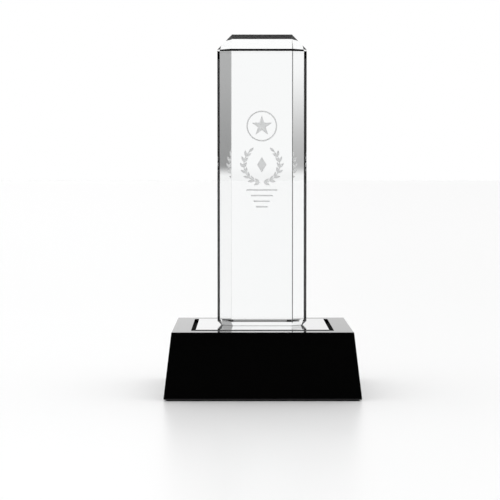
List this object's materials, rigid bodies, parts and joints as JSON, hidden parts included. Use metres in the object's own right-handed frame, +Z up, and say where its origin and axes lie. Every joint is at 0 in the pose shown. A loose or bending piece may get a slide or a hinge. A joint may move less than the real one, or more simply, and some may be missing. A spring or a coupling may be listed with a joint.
{
  "type": "column trophy",
  "caption": "Award trophy: a clear faceted crystal column with etched artwork, bonded to a bright plate set in a tapered gloss-black base.",
  "frame": {"origin": "middle of the felt's underside, on the surface that the trophy stands on", "axes": "+Z up the column, -Y the front, +X to the right seen from the front"},
  "size_m": [0.1278, 0.1278, 0.2396],
  "materials": {
    "optical_crystal": "polished clear optical crystal",
    "polished_plate": "mirror polished",
    "black_foam": "matte closed-cell foam",
    "piano_lacquer": "polished piano-black lacquer over fibreboard",
    "black_felt": "felted",
    "black_adhesive": "cured black structural adhesive",
    "etch_fill": "frosted pale grey"
  },
  "bodies": {
    "root": {"crystal_column": "optical_crystal", "top_plate": "polished_plate", "recess_liner": "black_foam", "base_block": "piano_lacquer", "base_felt": "black_felt", "column_bond": "black_adhesive", "emblem_ring_fill": "etch_fill", "emblem_star_fill": "etch_fill", "laurel_fill": "etch_fill", "rule_fill": "etch_fill"}
  },
  "joints": []
}
